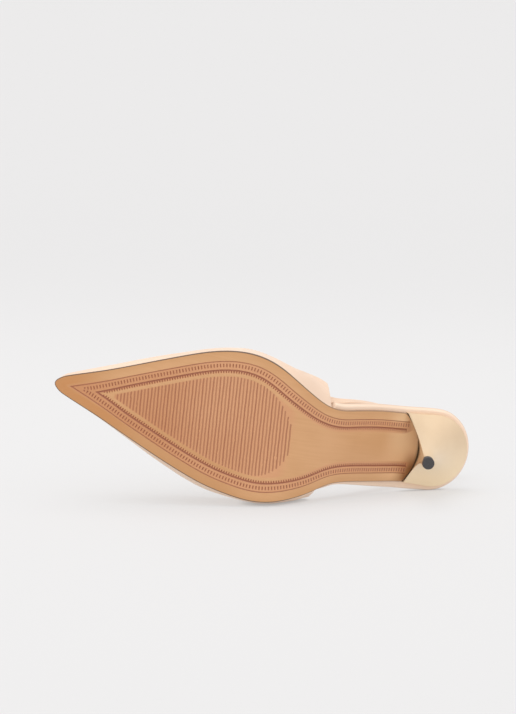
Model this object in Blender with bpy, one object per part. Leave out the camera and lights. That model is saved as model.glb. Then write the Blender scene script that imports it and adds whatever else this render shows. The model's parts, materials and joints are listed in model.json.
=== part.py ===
"""Pointed slingback shoe for the right foot, EU 40, lying on its outer side.

The shoe is built standing: x runs from the heel's back to the toe, y to the inner side, z up.
At the end it is laid on its outer side, with the sole facing -Y and the toe at -X.
"""
import math

import bmesh
import bpy
import numpy as np
from mathutils import Matrix

MM = 0.001

# Outsole, a row per section (mm): rise of the underside, half widths to the inner and outer edge
SOLE_COLUMNS = ("x", "rise", "inner", "outer")
SOLE_ROWS = (
    (0.0, 72.0, 23.4, 23.4),
    (14.0, 68.5, 23.4, 23.4),
    (28.0, 64.2, 23.2, 23.4),
    (42.0, 58.0, 22.0, 23.2),
    (52.0, 52.1, 21.4, 24.1),
    (62.0, 44.6, 21.1, 25.1),
    (72.0, 35.7, 20.5, 25.8),
    (82.0, 26.6, 19.5, 26.8),
    (91.0, 19.1, 18.8, 29.4),
    (100.0, 12.4, 20.6, 34.6),
    (110.0, 6.1, 25.6, 39.5),
    (120.0, 1.7, 31.5, 43.1),
    (130.0, 0.1, 37.1, 45.2),
    (140.0, 0.0, 41.2, 45.6),
    (152.0, 0.0, 43.3, 44.3),
    (165.0, 0.0, 42.5, 41.8),
    (180.0, 0.2, 38.7, 37.2),
    (195.0, 0.8, 32.9, 31.7),
    (210.0, 1.8, 26.6, 25.8),
    (225.0, 3.3, 20.1, 19.8),
    (240.0, 5.0, 13.9, 13.8),
    (252.0, 6.6, 9.4, 9.5),
    (262.0, 8.1, 5.6, 5.8),
)

# Upper, a row per section (mm): how far each wall swells past the sole's edge, the height over
# which it swells, the height of the arch over the edge, and how round the arch is (1 is an ellipse)
UPPER_COLUMNS = ("x", "inner_swell", "inner_turn", "outer_swell", "outer_turn", "crown", "round")
UPPER_ROWS = (
    (86.0, 18.8, 27.0, 13.2, 15.0, 60.0, 0.24),
    (98.0, 16.4, 24.0, 9.8, 13.0, 58.0, 0.20),
    (108.0, 13.0, 19.0, 6.9, 12.0, 56.0, 0.16),
    (118.0, 8.4, 14.0, 4.3, 9.0, 54.0, 0.12),
    (130.0, 3.4, 11.0, 2.8, 7.0, 52.5, 0.10),
    (145.0, 1.0, 9.0, 2.9, 7.0, 51.0, 0.10),
    (160.0, 1.0, 9.0, 4.1, 8.0, 49.0, 0.20),
    (175.0, 1.5, 9.0, 4.9, 9.0, 46.0, 0.38),
    (190.0, 2.0, 9.0, 4.8, 9.0, 41.0, 0.55),
    (205.0, 2.8, 8.0, 4.3, 8.0, 34.5, 0.66),
    (220.0, 3.4, 8.0, 3.7, 8.0, 28.0, 0.74),
    (235.0, 3.4, 8.0, 3.2, 8.0, 22.2, 0.78),
    (250.0, 2.8, 7.0, 2.7, 7.0, 17.0, 0.80),
    (262.0, 2.0, 6.0, 2.0, 6.0, 12.5, 0.85),
)

# Edges of the vamp, a row per share of the way from the toe to the wing's rear end: section where
# the column leaves the sole (mm), section (mm) and angle (degrees) where it ends at the topline,
# and how evenly it climbs on the way (0 climbs at once, 1 evenly)
VAMP_COLUMNS = ("share", "foot", "top", "angle", "evenness")
VAMP_ROWS = (
    (0.00, 268.0, 186.0, 90.0, 0.0),
    (0.06, 266.4, 185.6, 82.0, 0.26),
    (0.14, 259.0, 184.0, 71.0, 0.46),
    (0.26, 245.0, 178.5, 57.0, 0.66),
    (0.40, 222.0, 167.5, 43.5, 0.82),
    (0.55, 194.0, 151.5, 33.0, 0.94),
    (0.70, 163.0, 132.5, 26.5, 1.0),
    (0.85, 130.0, 112.0, 21.0, 1.0),
    (0.94, 109.0, 99.5, 18.0, 1.0),
    (1.00, 96.2, 93.2, 11.5, 1.0),
)

# Centre line of the sling strap (mm), from its end in the inner wing round the heel to the outer,
# and how far its upper edge leans out from the foot (degrees)
STRAP_COLUMNS = ("x", "y", "z", "lean")
STRAP_ROWS = (
    (111.5, 25.9, 19.0, 31.0),
    (108.0, 24.4, 21.0, 30.0),
    (104.0, 23.3, 23.8, 28.0),
    (99.0, 22.5, 27.6, 20.0),
    (87.0, 22.7, 38.2, 6.0),
    (74.0, 22.6, 51.6, 0.0),
    (58.0, 20.4, 69.5, -6.0),
    (41.0, 17.2, 89.0, -8.0),
    (25.0, 13.4, 107.0, -8.0),
    (11.5, 7.6, 120.3, -6.0),
    (6.0, 0.0, 125.5, -5.0),
    (11.5, -7.6, 120.3, -6.0),
    (25.0, -13.6, 107.0, -8.0),
    (41.0, -17.8, 89.0, -8.0),
    (58.0, -21.8, 69.5, -6.0),
    (74.0, -25.8, 51.6, 0.0),
    (87.0, -30.2, 38.2, 8.0),
    (99.0, -34.9, 27.6, 15.0),
    (104.0, -36.4, 23.8, 18.0),
    (108.0, -37.7, 21.0, 18.0),
    (111.5, -39.0, 19.0, 18.0),
)

GLUE_GAP = 0.35                # clearance between pieces that are glued together
OUTSOLE_FRONT = 3.0            # thickness of the outsole under the ball of the foot
OUTSOLE_WAIST = 2.4            # thickness of the outsole in the waist
OUTSOLE_THIN_FROM = 130.0
OUTSOLE_THIN_TO = 100.0
OUTSOLE_EDGE = 0.5             # rounding of the outsole's lower edge
OUTSOLE_DOME = 0.7             # how far the waist bellies out between its edges
TONGUE_X = 35.0                # rear end of the outsole, against the heel
TONGUE_BOW = 9.5
TONGUE_SKEW = -0.16
NOSE_X = 262.0                 # where the toe starts to round off
OUTSOLE_TIP = 268.2
UPPER_TIP = 268.0
TOE_SWELL = 1.4                # how far the toe's wall swells past the sole's tip

SEAT_ROUND_X = 25.0            # where the heel's back starts to round off
SEAT_BACK = 3.2
RIM_BACK = 0.4
RIM_REACH_SEAT = 3.5           # how far the insole's rim stands out past the outsole
RIM_REACH_OUTER = 4.9          # the same on the outer side, just in front of the heel
RIM_REACH_WAIST = 2.0          # and where the outer side meets the vamp
RIM_THICK = 4.6
RIM_ENDS = 93.7                # the rim narrows from here to fit inside the upper
RIM_HIDDEN = 95.5
INSOLE_INSET = 2.8             # gap from the sole's edge to the insole inside the upper
INSOLE_THICK = 2.4
INSOLE_TIP = 260.5
INSOLE_THINS_TO = 118.0

UPPER_WALL = 1.7
OUTER_WING_BACK = 1.8          # the outer wing ends this much farther back than the inner one
STRAP_WIDE = 8.0
STRAP_THICK = 1.8
STRAP_EDGE = 0.5

TIP_X = 34.0                   # centre of the heel's tip
TIP_RADIUS = 3.75
TIP_FLAT = 0.62                # share of the radius where the breast cuts the tip's round
LIFT_THICK = 5.6
HEEL_SKIRT = 1.2               # depth of the heel's straight edge under the outsole
HEEL_FLARE_BACK = 1.75         # how late the heel flares out towards the back
HEEL_FLARE_WIDE = 2.5          # how late it flares out to the sides
HEEL_FLARE_BREAST = 3.3        # how late it reaches forward to the breast's corners
BREAST_BLEND = 8.0             # either side of the tip, where back and breast flares blend
HEEL_CROWDING = 0.8            # below 1 the heel's levels crowd towards the seat

GRID_SOLE = (38, 14)
GRID_INSOLE = (36, 14)
GRID_HEEL = (6, 14)
GRID_UPPER = (72, 13)
HEEL_LEVELS = 15
STRAP_STEPS = 68

WEIGHTS = {"outsole": 1200.0, "insole": 900.0, "upper": 900.0,
           "sling_strap": 900.0, "heel": 1100.0, "top_lift": 1200.0}


def spline(knots, values):
    """Return the natural cubic curve through the values."""
    knots = np.asarray(knots, dtype=float)
    values = np.asarray(values, dtype=float)
    step = np.diff(knots)
    count = len(knots)
    system = np.eye(count)
    bend = np.zeros(count)
    for i in range(1, count - 1):
        system[i, i - 1:i + 2] = (step[i - 1], 2.0 * (step[i - 1] + step[i]), step[i])
        bend[i] = 6.0 * ((values[i + 1] - values[i]) / step[i]
                         - (values[i] - values[i - 1]) / step[i - 1])
    bend = np.linalg.solve(system, bend)

    def value(at):
        at = np.asarray(at, dtype=float)
        i = np.clip(np.searchsorted(knots, at) - 1, 0, count - 2)
        near = (knots[i + 1] - at) / step[i]
        far = 1.0 - near
        curved = ((near ** 3 - near) * bend[i] + (far ** 3 - far) * bend[i + 1]) * step[i] ** 2 / 6.0
        return near * values[i] + far * values[i + 1] + curved

    return value


def table(columns, rows):
    """Return a smooth curve over the first column for each of the others."""
    data = np.array(rows, dtype=float)
    return {name: spline(data[:, 0], data[:, i]) for i, name in enumerate(columns) if i > 0}


SOLE = table(SOLE_COLUMNS, SOLE_ROWS)
UPPER = table(UPPER_COLUMNS, UPPER_ROWS)
VAMP = table(VAMP_COLUMNS, VAMP_ROWS)


def ease(value, start, end):
    """Return 0 before start, 1 after end and a smooth step between; start may lie past end."""
    share = np.clip((np.asarray(value, dtype=float) - start) / (end - start), 0.0, 1.0)
    return share * share * (3.0 - 2.0 * share)


def place(x, y, height):
    """Return points at a height over the outsole's underside, square to it."""
    x, y, height = np.broadcast_arrays(x, y, height)
    slope = (SOLE["rise"](x + 0.5) - SOLE["rise"](x - 0.5))
    length = np.sqrt(1.0 + slope * slope)
    return np.stack([x - slope / length * height, y, SOLE["rise"](x) + height / length], axis=-1)


def outsole_thickness(x):
    """Return the outsole's thickness at a section."""
    return OUTSOLE_FRONT + (OUTSOLE_WAIST - OUTSOLE_FRONT) * ease(x, OUTSOLE_THIN_FROM, OUTSOLE_THIN_TO)


def round_end(side):
    """Return the reach of a half ellipse across the foot; side runs from -1 to 1."""
    return np.sqrt(np.clip(1.0 - side * side, 0.0, 1.0))


def tongue_line(side):
    """Return the outsole's rear end, which bows into the heel's breast."""
    return TONGUE_X + TONGUE_BOW * np.abs(side - TONGUE_SKEW) ** 2.2


def plan_grid(back, front, cells, bend=0.3, stops=()):
    """Return sections and sides of a grid between a back and a front line.

    The rows straighten out over a share of the length from each end, and further rows may be
    put at given sections of the side edges.
    """
    side = np.sin(np.linspace(-0.5 * math.pi, 0.5 * math.pi, cells[1] + 1))
    share = np.linspace(0.0, 1.0, cells[0] + 1 - len(stops))
    first = back(side[-1:])[0]
    last = front(side[-1:])[0]
    share = np.sort(np.append(share, [(stop - first) / (last - first) for stop in stops]))[:, None]
    start = back(side[:1])[0] + (front(side[:1])[0] - back(side[:1])[0]) * share
    edge = start + (first + (last - first) * share - start) * (0.5 + 0.5 * side)
    near_back = np.clip(1.0 - share / bend, 0.0, 1.0)
    near_front = np.clip(1.0 - (1.0 - share) / bend, 0.0, 1.0)
    ends = back(side) - edge[:1], front(side) - edge[-1:]
    x = edge + ends[0] * near_back + ends[1] * near_front
    return x, np.broadcast_to(side, x.shape)


def across(x, side, reach):
    """Return y at a share of the half width, with the edge moved out by reach."""
    edge = np.where(side > 0.0, SOLE["inner"](x), SOLE["outer"](x))
    return side * (edge + reach)


def border(layer):
    """Return the outline of a grid of points as one closed loop."""
    return np.concatenate([layer[0, :-1], layer[:-1, -1], layer[-1, :0:-1], layer[:0:-1, 0]])


def add_object(name, vertices, faces):
    """Make a closed body of the faces, in metres."""
    mesh = bpy.data.meshes.new(name)
    mesh.from_pydata([tuple(v) for v in np.asarray(vertices) * MM], [], faces)
    body = bmesh.new()
    body.from_mesh(mesh)
    bmesh.ops.remove_doubles(body, verts=body.verts, dist=1e-6)
    bmesh.ops.dissolve_degenerate(body, edges=body.edges, dist=1e-6)
    bmesh.ops.recalc_face_normals(body, faces=body.faces)
    body.to_mesh(mesh)
    body.free()
    mesh.polygons.foreach_set("use_smooth", [True] * len(mesh.polygons))
    mesh.set_sharp_from_angle(angle=math.radians(38.0))
    shape = bpy.data.objects.new(name, mesh)
    bpy.context.scene.collection.objects.link(shape)
    return shape


def grid_faces(shape, first):
    """Return the quads of a grid whose points start at index first."""
    rows, columns = shape[0], shape[1]
    faces = []
    for i in range(rows - 1):
        for j in range(columns - 1):
            a = first + i * columns + j
            faces.append((a, a + 1, a + columns + 1, a + columns))
    return faces


def loop_faces(first, second, count):
    """Return the quads between two closed loops of the same length."""
    return [(first + i, first + (i + 1) % count, second + (i + 1) % count, second + i)
            for i in range(count)]


def stacked(name, layers):
    """Close a body from a lowest and a highest grid and the outlines of the layers between."""
    points = [layers[0].reshape(-1, 3), layers[-1].reshape(-1, 3)]
    faces = grid_faces(layers[0].shape, 0)
    faces += grid_faces(layers[-1].shape, len(points[0]))
    start = len(points[0]) + len(points[1])
    for layer in layers:
        points.append(border(layer))
    count = len(points[2])
    for i in range(len(layers) - 1):
        faces += loop_faces(start + i * count, start + (i + 1) * count, count)
    return add_object(name, np.concatenate(points), faces)


def build_outsole():
    """The moulded sole, from the tongue at the heel to the toe."""
    x, side = plan_grid(tongue_line, lambda v: NOSE_X + (OUTSOLE_TIP - NOSE_X) * round_end(v), GRID_SOLE)
    thick = outsole_thickness(x)
    belly = OUTSOLE_DOME * (1.0 - ease(x, 92.0, 128.0)) * (1.0 - side * side)
    under = place(x, across(x, side, -OUTSOLE_EDGE), -belly)
    lower = place(x, across(x, side, 0.0), np.full_like(x, OUTSOLE_EDGE))
    upper = place(x, across(x, side, 0.0), thick)
    return stacked("outsole", [under, lower, upper])


def insole_reach(x, side):
    """Return how far the insole's outline lies outside the outsole's."""
    outer = RIM_REACH_SEAT + (RIM_REACH_OUTER - RIM_REACH_SEAT) * ease(x, 22.0, 40.0)
    outer = outer + (RIM_REACH_WAIST - RIM_REACH_OUTER) * ease(x, 40.0, 92.0)
    reach = np.where(side > 0.0, RIM_REACH_SEAT, outer)
    return reach - (reach + INSOLE_INSET) * ease(x, RIM_ENDS, RIM_HIDDEN)


def insole_layer(height, draw_in):
    """Return the insole's grid at a share of its thickness, drawn in from the outline."""
    x, side = plan_grid(lambda v: SEAT_ROUND_X - (SEAT_ROUND_X - RIM_BACK - draw_in) * round_end(v),
                        lambda v: INSOLE_TIP - 4.0 + (4.0 - draw_in) * round_end(v), GRID_INSOLE,
                        stops=(RIM_ENDS, RIM_HIDDEN))
    thick = RIM_THICK + (INSOLE_THICK - RIM_THICK) * ease(x, RIM_HIDDEN, INSOLE_THINS_TO)
    base = outsole_thickness(x) + GLUE_GAP
    return place(x, across(x, side, insole_reach(x, side) - draw_in), base + thick * height)


def build_insole():
    """The wrapped footbed with its rounded rim."""
    layers = []
    for turn in (-90.0, -50.0, -18.0, 18.0, 50.0, 90.0):
        angle = math.radians(turn)
        layers.append(insole_layer(0.5 + 0.5 * math.sin(angle), 2.0 * (1.0 - math.cos(angle))))
    return stacked("insole", layers)


def upper_point(x, angle):
    """Return points on the outside of the upper; angle runs from 0 (outer) to pi (inner)."""
    inner = np.cos(angle) < 0.0
    nose = np.sqrt(np.clip(1.0 - ((x - NOSE_X) / (UPPER_TIP - NOSE_X)) ** 2, 0.0, 1.0))
    nose = np.where(x > NOSE_X, nose, 1.0)
    edge = np.where(inner, SOLE["inner"](x), SOLE["outer"](x)) - 0.2
    swell = np.where(inner, UPPER["inner_swell"](x), UPPER["outer_swell"](x))
    turn = np.where(inner, UPPER["inner_turn"](x), UPPER["outer_turn"](x))
    middle = 0.5 * (SOLE["inner"](x) - SOLE["outer"](x)) * ease(np.sin(angle), 0.2, 0.9)
    height = UPPER["crown"](x) * nose * np.sin(angle) ** 0.9
    low = np.clip(1.0 - height / turn, 0.0, 1.0) ** 2
    width = (edge + swell) * np.abs(np.cos(angle)) ** UPPER["round"](x) - swell * low
    y = np.where(inner, width, -width) * nose + middle
    forward = TOE_SWELL * (1.0 - low) * ease(x, 250.0, NOSE_X) * np.sin(angle) ** 2
    return place(x + forward, y, outsole_thickness(x) + GLUE_GAP + height)


def vamp_grid():
    """Return the outside of the vamp: columns round the toe, rows from the sole to the topline."""
    columns, rows = GRID_UPPER
    share = np.linspace(-1.0, 1.0, columns + 1)[:, None]
    rise = np.linspace(0.0, 1.0, rows + 1)[None, :]
    rise = rise ** (1.0 + 0.6 * ease(np.abs(share), 0.6, 0.1))
    far = np.abs(share)
    end = np.radians(VAMP["angle"](far))
    x = VAMP["foot"](far) + (VAMP["top"](far) - VAMP["foot"](far)) * rise
    x = x - OUTER_WING_BACK * ease(-share, 0.7, 1.0)
    angle = end * rise ** np.maximum(VAMP["evenness"](far), 0.0)
    return upper_point(x, np.where(share > 0.0, math.pi - angle, angle))


def grid_normals(points):
    """Return unit normals of a grid of points."""
    along = np.gradient(points, axis=0)
    up = np.gradient(points, axis=1)
    normal = np.cross(along, up)
    length = np.linalg.norm(normal, axis=-1, keepdims=True)
    return normal / np.maximum(length, 1e-9)


def build_upper():
    """The vamp: a leather shell open at the throat, behind and underneath."""
    outside = vamp_grid()
    normal = grid_normals(outside)
    if np.sum(normal[:, 1, 1] * outside[:, 1, 1]) < 0.0:
        normal = -normal
    normal[:, 0, 2] = 0.0
    normal[:, 0] /= np.linalg.norm(normal[:, 0], axis=-1, keepdims=True)
    return stacked("upper", [outside, outside - UPPER_WALL * normal])


def build_strap():
    """The sling strap, a flat band with eased edges."""
    rows = np.array(STRAP_ROWS, dtype=float)
    run = np.concatenate([[0.0], np.cumsum(np.linalg.norm(np.diff(rows[:, :3], axis=0), axis=1))])
    at = np.linspace(0.0, run[-1], STRAP_STEPS + 1)
    centre = np.stack([spline(run, rows[:, i])(at) for i in range(3)], axis=-1)
    tangent = np.gradient(centre, axis=0)
    tangent /= np.linalg.norm(tangent, axis=1, keepdims=True)
    out = np.cross(tangent, (0.0, 0.0, 1.0))
    out /= np.linalg.norm(out, axis=1, keepdims=True)
    wide = np.cross(out, tangent)
    lean = np.radians(spline(run, rows[:, 3])(at))[:, None]
    wide, out = wide * np.cos(lean) + out * np.sin(lean), out * np.cos(lean) - wide * np.sin(lean)
    half, deep, edge = STRAP_WIDE / 2.0, STRAP_THICK / 2.0, STRAP_EDGE
    corners = ((half - edge, deep), (half, deep - edge), (half, edge - deep), (half - edge, -deep),
               (edge - half, -deep), (-half, edge - deep), (-half, deep - edge), (edge - half, deep))
    rings = [centre + wide * w + out * d for w, d in corners]
    points = np.stack(rings, axis=1).reshape(-1, 3)
    count = len(corners)
    faces = []
    for i in range(STRAP_STEPS):
        faces += loop_faces(i * count, (i + 1) * count, count)
    faces.append(tuple(range(count)))
    faces.append(tuple(range(STRAP_STEPS * count, (STRAP_STEPS + 1) * count)))
    return add_object("sling_strap", points, faces)


def tip_layer(height):
    """Return the heel tip's outline grid: round behind, flattened at the breast."""
    x, side = plan_grid(lambda v: TIP_X - TIP_RADIUS * round_end(v),
                        lambda v: TIP_X + TIP_RADIUS * (TIP_FLAT + 0.25 * round_end(v)), GRID_HEEL,
                        bend=1.0)
    share = np.linspace(0.0, 1.0, GRID_HEEL[0] + 1)[:, None]
    y = TIP_RADIUS * side * np.sqrt(1.0 - (TIP_FLAT * share) ** 2)
    return np.stack([x, y, np.full_like(x, height)], axis=-1)


def build_heel():
    """The flared heel, from its tip to the seat under the insole."""
    x, side = plan_grid(lambda v: SEAT_ROUND_X - (SEAT_ROUND_X - SEAT_BACK) * round_end(v),
                        lambda v: tongue_line(v) - GLUE_GAP, GRID_HEEL, bend=1.0)
    seat = place(x, across(x, side, 0.0), outsole_thickness(x))
    skirt = place(x, across(x, side, 0.0), -HEEL_SKIRT)
    tip = tip_layer(LIFT_THICK + GLUE_GAP)
    forward = ease(skirt[..., 0] - tip[..., 0], -BREAST_BLEND, BREAST_BLEND)
    late = HEEL_FLARE_BACK + (HEEL_FLARE_BREAST - HEEL_FLARE_BACK) * forward
    layers = []
    for level in np.linspace(0.0, 1.0, HEEL_LEVELS + 1):
        share = level ** HEEL_CROWDING
        wide = np.full_like(late, share ** HEEL_FLARE_WIDE)
        flare = np.stack([share ** late, wide, np.full_like(late, share)], axis=-1)
        layers.append(tip + (skirt - tip) * flare)
    return stacked("heel", layers + [seat])


def build_lift():
    """The top piece at the heel's tip."""
    return stacked("top_lift", [tip_layer(0.0), tip_layer(LIFT_THICK)])


def paint(shape, colour, roughness, metallic=0.0):
    """Give the object its own plain material."""
    material = bpy.data.materials.new(shape.name + "_material")
    material.use_nodes = True
    shader = material.node_tree.nodes["Principled BSDF"]
    shader.inputs["Base Color"].default_value = (*colour, 1.0)
    shader.inputs["Roughness"].default_value = roughness
    shader.inputs["Metallic"].default_value = metallic
    shape.data.materials.append(material)


def mass_centre(shapes):
    """Return the shoe's centre of mass from the pieces' volumes and weights."""
    total = 0.0
    moment = np.zeros(3)
    for shape in shapes:
        mesh = shape.data
        mesh.calc_loop_triangles()
        points = np.array([v.co for v in mesh.vertices])
        corners = points[np.array([t.vertices for t in mesh.loop_triangles])]
        volume = np.einsum("ij,ij->i", corners[:, 0], np.cross(corners[:, 1], corners[:, 2])) / 6.0
        weight = WEIGHTS[shape.name] * volume
        moment += (weight[:, None] * corners.sum(axis=1) / 4.0).sum(axis=0)
        total += weight.sum()
    return moment / total


def resting_side(shapes):
    """Return the outward direction of the most upright side of the hull that the shoe can lie on."""
    hull = bmesh.new()
    for shape in shapes:
        for vertex in shape.data.vertices:
            hull.verts.new(vertex.co)
    bmesh.ops.convex_hull(hull, input=hull.verts)
    centre = mass_centre(shapes)
    best = np.zeros(3)
    for face in hull.faces:
        normal = np.array(face.normal)
        if normal[1] > best[1]:
            continue
        corners = [np.array(v.co) for v in face.verts]
        foot = centre - normal * np.dot(centre - corners[0], normal)
        sides = [np.dot(np.cross(corners[(i + 1) % 3] - corners[i], foot - corners[i]), normal)
                 for i in range(3)]
        if min(sides) >= 0.0:
            best = normal
    hull.free()
    return best


def lay_down(shapes):
    """Lay the shoe on its outer side: sole to -Y, toe to -X, centred over the origin."""
    down = resting_side(shapes)
    up = -down
    back = np.array([0.0, 0.0, 1.0]) - up * up[2]
    back /= np.linalg.norm(back)
    right = np.cross(back, up)
    turn = np.stack([right, back, up])
    placed = [turn @ np.array([v.co for v in shape.data.vertices]).T for shape in shapes]
    low = np.min([p.min(axis=1) for p in placed], axis=0)
    high = np.max([p.max(axis=1) for p in placed], axis=0)
    move = Matrix(turn.tolist()).to_4x4()
    move.translation = (-0.5 * (low[0] + high[0]), -0.5 * (low[1] + high[1]), -low[2])
    frame = bpy.data.objects.new("lying_frame", None)
    bpy.context.scene.collection.objects.link(frame)
    frame.matrix_world = move
    for shape in shapes:
        shape.parent = frame


def main():
    for leftover in list(bpy.data.objects):
        bpy.data.objects.remove(leftover, do_unlink=True)
    outsole = build_outsole()
    insole = build_insole()
    upper = build_upper()
    strap = build_strap()
    heel = build_heel()
    lift = build_lift()
    paint(outsole, (0.63, 0.36, 0.18), 0.45)
    paint(insole, (0.87, 0.68, 0.54), 0.4)
    paint(upper, (0.87, 0.68, 0.54), 0.35)
    paint(strap, (0.87, 0.68, 0.54), 0.4)
    paint(heel, (0.83, 0.66, 0.44), 0.12, 1.0)
    paint(lift, (0.06, 0.06, 0.06), 0.6)
    lay_down([outsole, insole, upper, strap, heel, lift])


main()
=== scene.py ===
"""Looks of a right-foot slingback shoe that lies on its outer side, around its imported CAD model.

Shapes are worked out in the standing shoe's frame, in millimetres: x runs from the heel's back to
the toe, y to the inner side and z up. TURN and SHIFT carry them to where the CAD shoe lies.
"""
import json
import math

import bmesh
import bpy
import numpy as np
from mathutils import Matrix, Vector
from mathutils.geometry import delaunay_2d_cdt
from mathutils.kdtree import KDTree


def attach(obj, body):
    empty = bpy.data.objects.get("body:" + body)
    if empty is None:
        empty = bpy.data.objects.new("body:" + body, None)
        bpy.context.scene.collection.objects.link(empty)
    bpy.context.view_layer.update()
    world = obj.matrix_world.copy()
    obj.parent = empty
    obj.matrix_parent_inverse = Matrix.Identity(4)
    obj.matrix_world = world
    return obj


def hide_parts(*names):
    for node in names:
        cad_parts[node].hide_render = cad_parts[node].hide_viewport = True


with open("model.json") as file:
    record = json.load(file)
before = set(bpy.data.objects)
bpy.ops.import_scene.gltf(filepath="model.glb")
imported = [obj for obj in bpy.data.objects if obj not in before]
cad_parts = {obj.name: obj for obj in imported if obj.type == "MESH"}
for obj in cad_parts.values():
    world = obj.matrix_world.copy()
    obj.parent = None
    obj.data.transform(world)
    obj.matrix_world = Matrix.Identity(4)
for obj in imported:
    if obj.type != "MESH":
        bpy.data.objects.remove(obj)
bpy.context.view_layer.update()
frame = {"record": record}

MM = 0.001

# -------- sizes shared with the CAD model

SOLE_COLUMNS = ("x", "rise", "inner", "outer")
SOLE_ROWS = (
    (0.0, 72.0, 23.4, 23.4),
    (14.0, 68.5, 23.4, 23.4),
    (28.0, 64.2, 23.2, 23.4),
    (42.0, 58.0, 22.0, 23.2),
    (52.0, 52.1, 21.4, 24.1),
    (62.0, 44.6, 21.1, 25.1),
    (72.0, 35.7, 20.5, 25.8),
    (82.0, 26.6, 19.5, 26.8),
    (91.0, 19.1, 18.8, 29.4),
    (100.0, 12.4, 20.6, 34.6),
    (110.0, 6.1, 25.6, 39.5),
    (120.0, 1.7, 31.5, 43.1),
    (130.0, 0.1, 37.1, 45.2),
    (140.0, 0.0, 41.2, 45.6),
    (152.0, 0.0, 43.3, 44.3),
    (165.0, 0.0, 42.5, 41.8),
    (180.0, 0.2, 38.7, 37.2),
    (195.0, 0.8, 32.9, 31.7),
    (210.0, 1.8, 26.6, 25.8),
    (225.0, 3.3, 20.1, 19.8),
    (240.0, 5.0, 13.9, 13.8),
    (252.0, 6.6, 9.4, 9.5),
    (262.0, 8.1, 5.6, 5.8),
)
UPPER_COLUMNS = ("x", "inner_swell", "inner_turn", "outer_swell", "outer_turn", "crown", "round")
UPPER_ROWS = (
    (86.0, 18.8, 27.0, 13.2, 15.0, 60.0, 0.24),
    (98.0, 16.4, 24.0, 9.8, 13.0, 58.0, 0.20),
    (108.0, 13.0, 19.0, 6.9, 12.0, 56.0, 0.16),
    (118.0, 8.4, 14.0, 4.3, 9.0, 54.0, 0.12),
    (130.0, 3.4, 11.0, 2.8, 7.0, 52.5, 0.10),
    (145.0, 1.0, 9.0, 2.9, 7.0, 51.0, 0.10),
    (160.0, 1.0, 9.0, 4.1, 8.0, 49.0, 0.20),
    (175.0, 1.5, 9.0, 4.9, 9.0, 46.0, 0.38),
    (190.0, 2.0, 9.0, 4.8, 9.0, 41.0, 0.55),
    (205.0, 2.8, 8.0, 4.3, 8.0, 34.5, 0.66),
    (220.0, 3.4, 8.0, 3.7, 8.0, 28.0, 0.74),
    (235.0, 3.4, 8.0, 3.2, 8.0, 22.2, 0.78),
    (250.0, 2.8, 7.0, 2.7, 7.0, 17.0, 0.80),
    (262.0, 2.0, 6.0, 2.0, 6.0, 12.5, 0.85),
)
VAMP_COLUMNS = ("share", "foot", "top", "angle", "evenness")
VAMP_ROWS = (
    (0.00, 268.0, 186.0, 90.0, 0.0),
    (0.06, 266.4, 185.6, 82.0, 0.26),
    (0.14, 259.0, 184.0, 71.0, 0.46),
    (0.26, 245.0, 178.5, 57.0, 0.66),
    (0.40, 222.0, 167.5, 43.5, 0.82),
    (0.55, 194.0, 151.5, 33.0, 0.94),
    (0.70, 163.0, 132.5, 26.5, 1.0),
    (0.85, 130.0, 112.0, 21.0, 1.0),
    (0.94, 109.0, 99.5, 18.0, 1.0),
    (1.00, 96.2, 93.2, 11.5, 1.0),
)
STRAP_ROWS = (  # x, y and z of its middle line, and its lean in degrees
    (111.5, 25.9, 19.0, 31.0),
    (108.0, 24.4, 21.0, 30.0),
    (104.0, 23.3, 23.8, 28.0),
    (99.0, 22.5, 27.6, 20.0),
    (87.0, 22.7, 38.2, 6.0),
    (74.0, 22.6, 51.6, 0.0),
    (58.0, 20.4, 69.5, -6.0),
    (41.0, 17.2, 89.0, -8.0),
    (25.0, 13.4, 107.0, -8.0),
    (11.5, 7.6, 120.3, -6.0),
    (6.0, 0.0, 125.5, -5.0),
    (11.5, -7.6, 120.3, -6.0),
    (25.0, -13.6, 107.0, -8.0),
    (41.0, -17.8, 89.0, -8.0),
    (58.0, -21.8, 69.5, -6.0),
    (74.0, -25.8, 51.6, 0.0),
    (87.0, -30.2, 38.2, 8.0),
    (99.0, -34.9, 27.6, 15.0),
    (104.0, -36.4, 23.8, 18.0),
    (108.0, -37.7, 21.0, 18.0),
    (111.5, -39.0, 19.0, 18.0),
)
GLUE_GAP = 0.35
OUTSOLE_FRONT = 3.0
OUTSOLE_WAIST = 2.4
OUTSOLE_EDGE = 0.5
OUTSOLE_DOME = 0.7
TONGUE_X = 35.0
TONGUE_BOW = 9.5
TONGUE_SKEW = -0.16
NOSE_X = 262.0
OUTSOLE_TIP = 268.2
UPPER_TIP = 268.0
TOE_SWELL = 1.4
SEAT_ROUND_X = 25.0
SEAT_BACK = 3.2
RIM_BACK = 0.4
RIM_REACH_SEAT = 3.5
RIM_REACH_OUTER = 4.9
RIM_REACH_WAIST = 2.0
RIM_THICK = 4.6
RIM_ENDS = 93.7
RIM_HIDDEN = 95.5
INSOLE_INSET = 2.8
INSOLE_THICK = 2.4
INSOLE_TIP = 260.5
INSOLE_ROUND = 4.0
INSOLE_THINS_TO = 118.0
UPPER_WALL = 1.7
OUTER_WING_BACK = 1.8
STRAP_WIDE = 8.0
STRAP_THICK = 1.8
TIP_X = 34.0
TIP_RADIUS = 3.75
TIP_FLAT = 0.62
LIFT_THICK = 5.6
HEEL_SKIRT = 1.2
HEEL_FLARE_BACK = 1.75
HEEL_FLARE_WIDE = 2.5
HEEL_FLARE_BREAST = 3.3
BREAST_BLEND = 8.0
HEEL_CROWDING = 0.8
BALL_TREAD = (138.0, -3.0)

# -------- sizes of the details

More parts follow.
